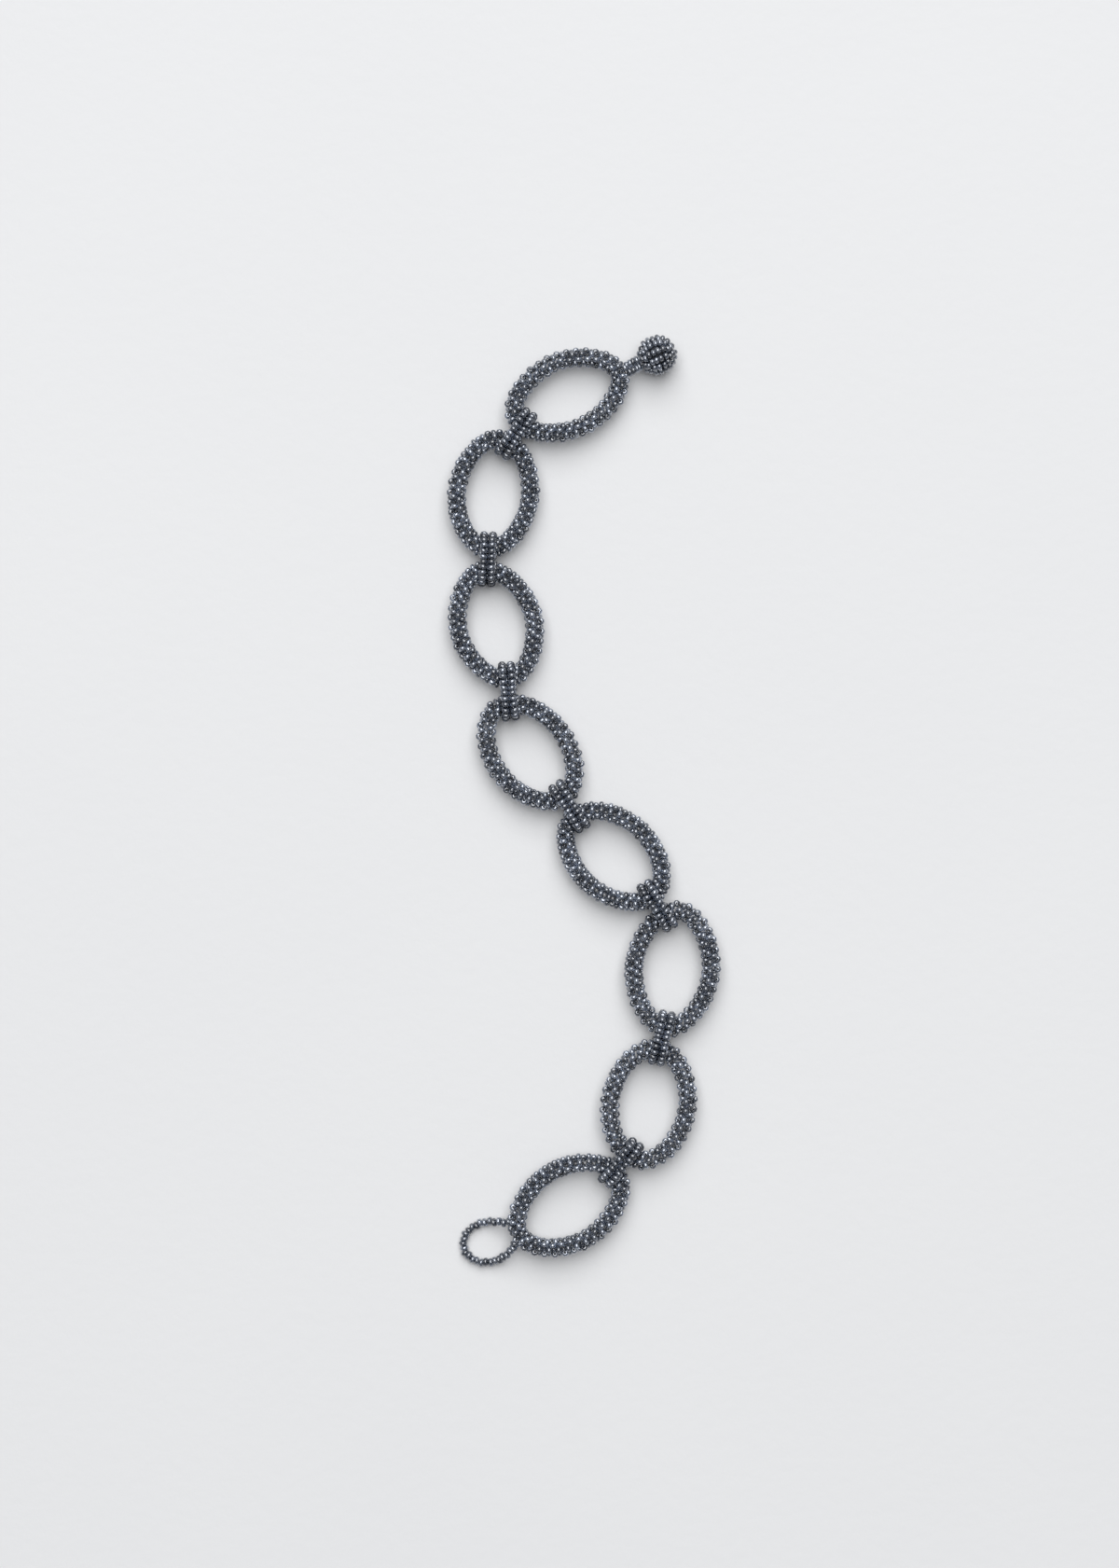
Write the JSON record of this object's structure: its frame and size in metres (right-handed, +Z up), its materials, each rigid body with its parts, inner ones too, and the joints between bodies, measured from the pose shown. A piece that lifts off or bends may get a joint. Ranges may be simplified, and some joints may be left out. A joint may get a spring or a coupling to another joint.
{
  "type": "beaded link bracelet",
  "caption": "Bracelet of oval links woven from small smoky glass beads, wrapped together by beaded bands, with a beaded ball and a strung bead loop as its closure.",
  "frame": {"origin": "middle of the bracelet's box, on the surface it lies on", "axes": "+Y along the row of links towards the ball, +X to the right of it, +Z up from the surface"},
  "size_m": [0.0478, 0.1628, 0.0069],
  "materials": {
    "link_beads": "gloss",
    "band_beads": "gloss",
    "ball_beads": "gloss",
    "loop_beads": "gloss"
  },
  "bodies": {
    "root": {"link_1": "link_beads", "link_2": "link_beads", "link_3": "link_beads", "link_4": "link_beads", "link_5": "link_beads", "link_6": "link_beads", "link_7": "link_beads", "link_8": "link_beads", "band_1": "band_beads", "band_2": "band_beads", "band_3": "band_beads", "band_4": "band_beads", "band_5": "band_beads", "band_6": "band_beads", "band_7": "band_beads", "ball": "ball_beads", "stalk": "ball_beads", "loop": "loop_beads"}
  },
  "joints": []
}
